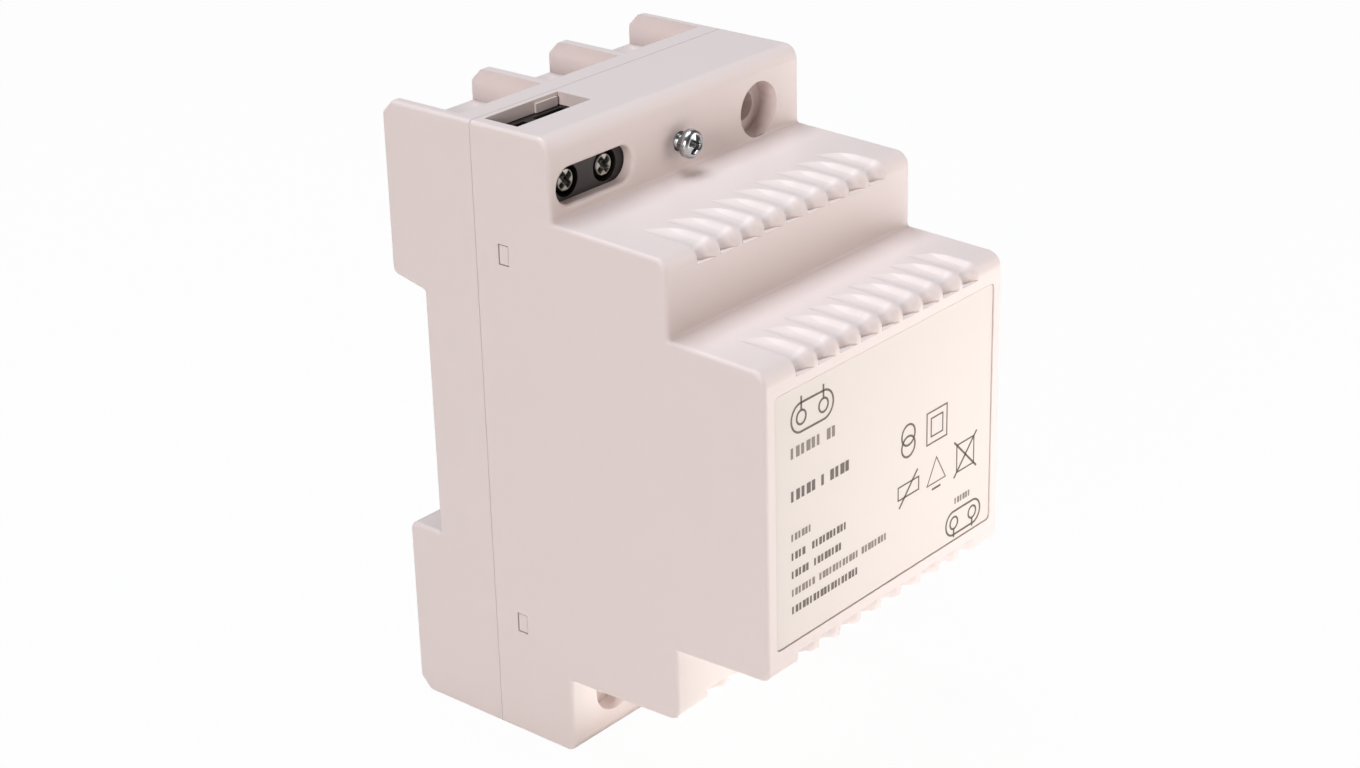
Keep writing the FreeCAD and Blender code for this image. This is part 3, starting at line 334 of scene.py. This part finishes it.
def gridFaces(rows, columns):
    # Quads of a grid whose columns close on themselves
    row, column = np.meshgrid(np.arange(rows - 1), np.arange(columns), indexing="ij")
    beside = (column + 1) % columns
    corners = [row * columns + column, row * columns + beside,
               (row + 1) * columns + beside, (row + 1) * columns + column]
    return np.stack(corners, axis=-1).reshape(-1, 4)


# Screws, in millimetres

screwMesh = {"columns": 96, "faceRows": 42, "bendRows": 10, "underRows": 5, "bodyRows": 220, "tipRows": 6}
coverScrew = {
    "headRadius": 2.0,
    "headHeight": 1.7,
    "dome": 0.35,           # rise of the face towards its middle
    "edge": 0.75,           # rounding between face and side
    "length": 15.9,         # from the top of the head to the tip
    "shank": 1.2,
    "thread": 0.28,         # height of the thread
    "threadPitch": 0.95,
    "tip": 0.8,
    "crossHalf": 0.42,      # half width of a recess arm
    "crossReach": 1.25,
    "crossDepth": 1.5,
    "crossTaper": 0.55,     # share of the depth that is lost at the end of an arm
    "crossSoft": 0.1,       # half width of the recess walls
    "turn": 0.5,
    "finish": "zincPlatedSteel",
}
terminalScrew = {
    "headRadius": 1.65,
    "headHeight": 1.8,
    "dome": 0.05,
    "edge": 0.3,
    "length": 5.2,
    "shank": 1.45,
    "thread": 0.22,
    "threadPitch": 0.5,
    "tip": 0.2,
    "crossHalf": 0.4,
    "crossReach": 1.25,
    "crossDepth": 1.1,
    "crossTaper": 0.55,
    "crossSoft": 0.1,
    "turn": 0.9,
    "finish": "shadedZincSteel",
}


def within(distance, reach, soft):
    # 1 inside the reach on both sides of zero, 0 outside, with an S-shaped fall of twice the soft width
    share = np.clip((reach + soft - np.abs(distance)) / (2 * soft), 0, 1)
    return share * share * (3 - 2 * share)


def screwProfile(s, m):
    # Radius and depth below the middle of the face, from there round to the tip: a face that falls
    # as a parabola, a quarter of an ellipse, the underside of the head, the shank and a cone
    bend = np.linspace(0, math.pi / 2, m["bendRows"])[1:]
    faceRadius = s["headRadius"] - s["edge"]
    rimShare = 0.55    # part of the head's height that the rounding takes
    face = np.linspace(0, faceRadius, m["faceRows"])
    faceDepth = s["dome"] * (face / faceRadius) ** 2
    rim = faceRadius + s["edge"] * np.sin(bend)
    rimDepth = s["dome"] + (s["headHeight"] - s["dome"]) * rimShare * (1 - np.cos(bend))
    under = np.linspace(s["headRadius"], s["shank"], m["underRows"])
    underDepth = np.full(len(under), s["headHeight"])
    body = np.linspace(s["headHeight"], s["length"] - s["tip"], m["bodyRows"])[1:]
    tip = np.linspace(1, 0, m["tipRows"])[1:]
    radius = np.concatenate([face, rim, under, np.full(len(body), s["shank"]), s["shank"] * tip])
    depth = np.concatenate([faceDepth, rimDepth, underDepth, body, s["length"] - s["tip"] * tip])
    return radius, depth, len(face) + len(rim) + len(under)


def screwPoints(s, m):
    # Surface of revolution: the face sinks by a cross of two rounded arms, and below the head
    # the radius falls off between the turns of a helix
    radius, depth, headRows = screwProfile(s, m)
    angle = np.linspace(0, 2 * math.pi, m["columns"], endpoint=False)
    ringRadius = np.repeat(radius[:, None], m["columns"], axis=1)
    ringDepth = np.repeat(depth[:, None], m["columns"], axis=1)
    across = ringRadius * np.cos(angle + s["turn"])
    up = ringRadius * np.sin(angle + s["turn"])
    half, reach, soft = s["crossHalf"], s["crossReach"], s["crossSoft"]
    armAcross = within(up, half, soft) * within(across, reach, soft)
    armUp = within(across, half, soft) * within(up, reach, soft)
    cross = np.maximum(armAcross, armUp)
    cross[m["faceRows"]:] = 0
    taper = np.clip(1 - s["crossTaper"] * ringRadius / reach, 0, 1)
    sink = s["crossDepth"] * cross * taper
    phase = (ringDepth / s["threadPitch"] - angle / (2 * math.pi)) % 1
    flank = 2.2    # steepness of the thread's sides
    groove = s["thread"] * np.minimum(1, flank * np.minimum(phase, 1 - phase))
    groove[:headRows] = 0
    groove[1 - m["tipRows"]:] = 0
    ringRadius = ringRadius - groove
    grid = np.stack([ringRadius * np.cos(angle), ringDepth + sink, ringRadius * np.sin(angle)], axis=-1)
    return grid, cross


def screwBatch(s, tops):
    # One mesh for all the screws of a kind; a top is the middle of the head's face
    grid, cross = screwPoints(s, screwMesh)
    rows, columns = cross.shape
    faces = gridFaces(rows, columns)
    points = np.concatenate([grid.reshape(-1, 3) + np.array(top) for top in tops]) * mm
    batchFaces = np.concatenate([faces + cross.size * index for index in range(len(tops))])
    return points, batchFaces, np.tile(cross.ravel(), len(tops))


def topsOf(nodeName, places):
    # The head's face lies at the front end of the node
    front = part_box(nodeName)[0][1] / mm
    return [(x, front, z) for x, z in places]


# Terminal screws lie in pairs on one diagonal, the cover screws on the middle line
screwPlaces = {"height": 37.8, "outer": 20.75, "inner": 13.25}
high, outer, inner = screwPlaces["height"], screwPlaces["outer"], screwPlaces["inner"]
screwSets = {
    "cover_screws": (coverScrew, [(0, high), (0, -high)]),
    "primary_terminal_screws": (terminalScrew, [(-outer, high), (-inner, high)]),
    "secondary_terminal_screws": (terminalScrew, [(inner, -high), (outer, -high)]),
}
for nodeName, (settings, places) in screwSets.items():
    points, faces, cross = screwBatch(settings, topsOf(nodeName, places))
    piece = newPiece(nodeName + "_recessed", points, faces, settings["finish"])
    # The cross recess mask, which the steel finishes use to paint shade into the recess
    piece.data.attributes.new("recess", "FLOAT", "POINT").data.foreach_set("value", cross)
    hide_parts(nodeName)
print("screws cut:", sum(len(places) for _, places in screwSets.values()))


# Print on the label: rows of ticks and plain outlined shapes, in millimetres

labelPrint = {
    "line": 0.3,
    "thickness": 0.03,
    "groupGap": 0.9,
    "tickPitch": 0.72,      # share of the row's height
    "tickFill": (0.42, 0.8),    # narrowest and widest share of the pitch
    "tickStep": 0.618,      # the widths step on by the golden ratio
    # Rows of upright ticks: left, middle height, height of a tick, lengths
    "boldRows": [
        (-20.8, 3.0, 1.5, (5.4, 1.0, 3.8)),
        (-20.8, -5.5, 1.05, (3.4, 7.2)),
        (-20.8, -8.1, 1.05, (3.8, 6.4)),
        (-20.8, -13.2, 1.05, (14.2,)),
    ],
    "fineRows": [
        (-20.8, 9.0, 1.5, (6.6, 1.9)),
        (-20.8, -2.8, 1.0, (4.6,)),
        (-20.8, -10.7, 1.0, (4.9, 8.3, 5.5)),
        (15.7, -11.9, 0.9, (3.9,)),
    ],
    # Outlines: x, z, radius, sides, turn, stretch along x
    "outlines": [
        (-16.3, 13.4, 2.0, 48, 0, 4.7),
        (-18.6, 13.4, 0.95, 32, 0, 0),
        (-14.0, 13.4, 0.95, 32, 0, 0),
        (17.8, -15.2, 1.8, 48, 0, 4.6),
        (15.6, -15.2, 0.9, 32, 0, 0),
        (20.0, -15.2, 0.9, 32, 0, 0),
        (4.6, 2.3, 1.5, 40, 0, 0),
        (4.6, 0.6, 1.5, 40, 0, 0),
        (11.2, 1.4, 3.3, 4, math.pi / 4, 0),
        (11.2, 1.4, 1.9, 4, math.pi / 4, 0),
        (4.7, -5.7, 1.35, 4, math.pi / 4, 2.8),
        (11.2, -5.9, 2.5, 3, math.pi / 2, 0),
        (18.1, -5.6, 2.9, 4, math.pi / 4, 0),
    ],
    # Strokes: from x, z to x, z
    "strokes": [
        (-18.6, 14.4, -18.6, 16.3),
        (-14.0, 14.4, -14.0, 16.3),
        (15.6, -16.1, 15.6, -17.4),
        (20.0, -16.1, 20.0, -17.4),
        (2.6, -7.9, 6.8, -3.5),
        (10.2, -8.0, 12.2, -8.0),
        (15.4, -8.3, 20.8, -2.9),
        (15.4, -2.9, 20.8, -8.3),
    ],
}


def outlineBand(x, z, radius, sides, turn, stretch, line):
    # Closed band round a centre: a regular polygon or circle of two radii,
    # its left and right halves pulled apart by the stretch
    angle = turn + np.linspace(0, 2 * math.pi, sides, endpoint=False)
    shift = np.sign(np.round(np.cos(angle), 9)) * stretch / 2
    rings = [np.stack([x + shift + r * np.cos(angle), np.zeros(sides), z + r * np.sin(angle)], axis=-1)
             for r in (radius + line / 2, radius - line / 2)]
    return np.concatenate(rings), gridFaces(2, sides)


def stroke(fromX, fromZ, toX, toZ, width):
    # Rectangle along the straight line between two points
    along = np.array([toX - fromX, 0, toZ - fromZ])
    across = np.array([-along[2], 0, along[0]]) * width / 2 / np.hypot(along[0], along[2])
    start, end = np.array([(fromX, 0, fromZ), (toX, 0, toZ)])
    corners = np.stack([start - across, end - across, end + across, start + across])
    return corners, np.array([[0, 1, 2, 3]])


def tickRow(left, middle, height, lengths, s):
    # Groups of upright ticks, a fixed pitch apart, that fill the given lengths with a gap between them;
    # each width is a share of the pitch that runs through the fill in even steps
    starts = left + np.cumsum([0] + [length + s["groupGap"] for length in lengths[:-1]])
    pitch = s["tickPitch"] * height
    places = np.concatenate([start + pitch * np.arange(round(length / pitch))
                             for start, length in zip(starts, lengths)])
    narrow, wide = s["tickFill"]
    widths = pitch * (narrow + (wide - narrow) * (np.arange(len(places)) * s["tickStep"] % 1))
    return [stroke(place, middle, place + width, middle, height)
            for place, width in zip(places, widths)]


def printShapes(name, shapes, finish, s):
    # All shapes in one sheet of ink, lifted off the film by its own thickness
    corners, groups = zip(*shapes)
    starts = np.cumsum([0] + [len(group) for group in corners[:-1]])
    points = np.concatenate(corners)
    faces = [face.tolist() for group, start in zip(groups, starts) for face in group + start]
    points[:, 1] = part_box("front_label")[0][1] / mm
    piece = newPiece(name, points * mm, faces, finish, smooth=False)
    sheet = piece.modifiers.new("ink", "SOLIDIFY")
    sheet.thickness = s["thickness"] * mm
    sheet.offset = 1.0


def printLabel(s):
    boldShapes = sum([tickRow(*row, s) for row in s["boldRows"]], [])
    boldShapes += [outlineBand(*entry, s["line"]) for entry in s["outlines"]]
    boldShapes += [stroke(*entry, s["line"]) for entry in s["strokes"]]
    fineShapes = sum([tickRow(*row, s) for row in s["fineRows"]], [])
    printShapes("bold_print", boldShapes, "boldInk", s)
    printShapes("fine_print", fineShapes, "fineInk", s)


printLabel(labelPrint)
print("label printed")


# Floor, light and camera

studio = {
    "floorSize": 6.0,
    "floorColour": "#d8d7d6",
    "floorRoughness": 0.6,
    "floorGlow": 0.06,      # light that the table sends up to the object
    "floorWhite": 0.96,     # share of plain white in the floor as the camera sees it
    "worldColour": "#fff9f5",
    "worldStrength": 0.03,
}
lamps = {
    # Soft box over the object, a little bluish
    "top": {
        "place": (0.0, 0.15, 1.0),
        "aim": (0, 0, 0),
        "size": (0.6, 0.6),
        "colour": (0.88, 0.94, 1),
        "power": 9.1,
    },
    # Low lamp that rakes across the louvres
    "left": {
        "place": (-0.92, -0.22, 0.3),
        "aim": (0, 0, 0),
        "size": (0.28, 0.28),
        "colour": (1, 0.95, 0.92),
        "power": 4.7,
    },
    # Warm fill for the faces that look forward
    "right": {
        "place": (0.32, -0.41, 0.14),
        "aim": (0, -0.03, 0),
        "size": (0.3, 0.3),
        "colour": (1, 0.92, 0.86),
        "power": 0.86,
    },
    # White card on the table before the front face, clear of the left side
    "card": {
        "place": (0.174, -0.256, -0.0445),
        "aim": (0.174, -0.256, 1),
        "size": (0.4, 0.36),
        "colour": (1, 0.99, 0.96),
        "power": 0.78,
    },
    # White strip on the table under the lower steps
    "strip": {
        "place": (0, -0.0445, -0.0445),
        "aim": (0, -0.0445, 1),
        "size": (0.05, 0.027),
        "colour": (0.9, 1, 0.97),
        "power": 0.009,
    },
}


def makeFloor(s):
    half = s["floorSize"] / 2
    level = cadBounds[0][2]
    corners = half * np.array([(-1, -1, 0), (1, -1, 0), (1, 1, 0), (-1, 1, 0)]) + (0, 0, level)
    mesh = bpy.data.meshes.new("floor")
    mesh.from_pydata(corners.tolist(), [], [[0, 1, 2, 3]])
    floor = bpy.data.objects.new("floor", mesh)
    bpy.context.scene.collection.objects.link(floor)
    material, tree, shader = newMaterial("lightTable", {
        "Base Color": hexColour(s["floorColour"]),
        "Roughness": s["floorRoughness"],
        "Emission Color": (1, 1, 1, 1),
        "Emission Strength": s["floorGlow"],
    })
    path = addNode(tree, "ShaderNodeLightPath")
    share = addNode(tree, "ShaderNodeMapRange", {"To Max": s["floorWhite"]},
                    Value=path.outputs["Is Camera Ray"])
    white = addNode(tree, "ShaderNodeEmission", {"Color": (1, 1, 1, 1), "Strength": 1.0})
    mix = addNode(tree, "ShaderNodeMixShader", {}, Fac=share.outputs["Result"])
    tree.links.new(shader.outputs[0], mix.inputs[1])
    tree.links.new(white.outputs[0], mix.inputs[2])
    tree.links.new(mix.outputs[0], tree.nodes["Material Output"].inputs["Surface"])
    mesh.materials.append(material)


def makeWorld(s):
    world = bpy.data.worlds.new("paleRoom")
    bpy.context.scene.world = world
    world.use_nodes = True
    tree = world.node_tree
    light = tree.nodes["Background"]
    light.inputs["Color"].default_value = hexColour(s["worldColour"])
    light.inputs["Strength"].default_value = s["worldStrength"]
    white = addNode(tree, "ShaderNodeBackground", {"Color": (1, 1, 1, 1), "Strength": 1.0})
    path = addNode(tree, "ShaderNodeLightPath")
    mix = addNode(tree, "ShaderNodeMixShader")
    tree.links.new(path.outputs["Is Camera Ray"], mix.inputs[0])
    tree.links.new(light.outputs[0], mix.inputs[1])
    tree.links.new(white.outputs[0], mix.inputs[2])
    tree.links.new(mix.outputs[0], tree.nodes["World Output"].inputs["Surface"])


def makeLamp(name, s):
    lamp = bpy.data.lights.new(name, "AREA")
    lamp.shape = "RECTANGLE"
    lamp.size, lamp.size_y = s["size"]
    lamp.color = s["colour"]
    lamp.energy = s["power"]
    holder = bpy.data.objects.new(name, lamp)
    bpy.context.scene.collection.objects.link(holder)
    holder.location = s["place"]
    gaze = Vector(s["aim"]) - Vector(s["place"])
    holder.rotation_euler = gaze.to_track_quat("-Z", "Y").to_euler()
    holder.visible_camera = False


# Camera found from the straight edges of the housing
camera = {
    "place": (-0.2606, -0.2465, 0.1536),
    "right": (0.6444, -0.7643, -0.0249),
    "up": (0.3082, 0.2298, 0.9231),
    "forward": (0.6998, 0.6026, -0.3837),
    "lens": 71.04,
    "shift": (0.00493, -0.0445),
    "nearest": 0.01,
}


def makeCamera(s):
    data = bpy.data.cameras.new("camera")
    data.lens = s["lens"]
    data.shift_x, data.shift_y = s["shift"]
    data.clip_start = s["nearest"]
    holder = bpy.data.objects.new("camera", data)
    bpy.context.scene.collection.objects.link(holder)
    columns = [Vector(s["right"]), Vector(s["up"]), -Vector(s["forward"])]
    turn = Matrix([[column[row] for column in columns] for row in range(3)]).to_4x4()
    holder.matrix_world = Matrix.Translation(s["place"]) @ turn
    bpy.context.scene.camera = holder


makeFloor(studio)
makeWorld(studio)
for lampName, settings in lamps.items():
    makeLamp(lampName, settings)
makeCamera(camera)
bpy.context.scene.view_settings.view_transform = "Standard"
print("studio ready")
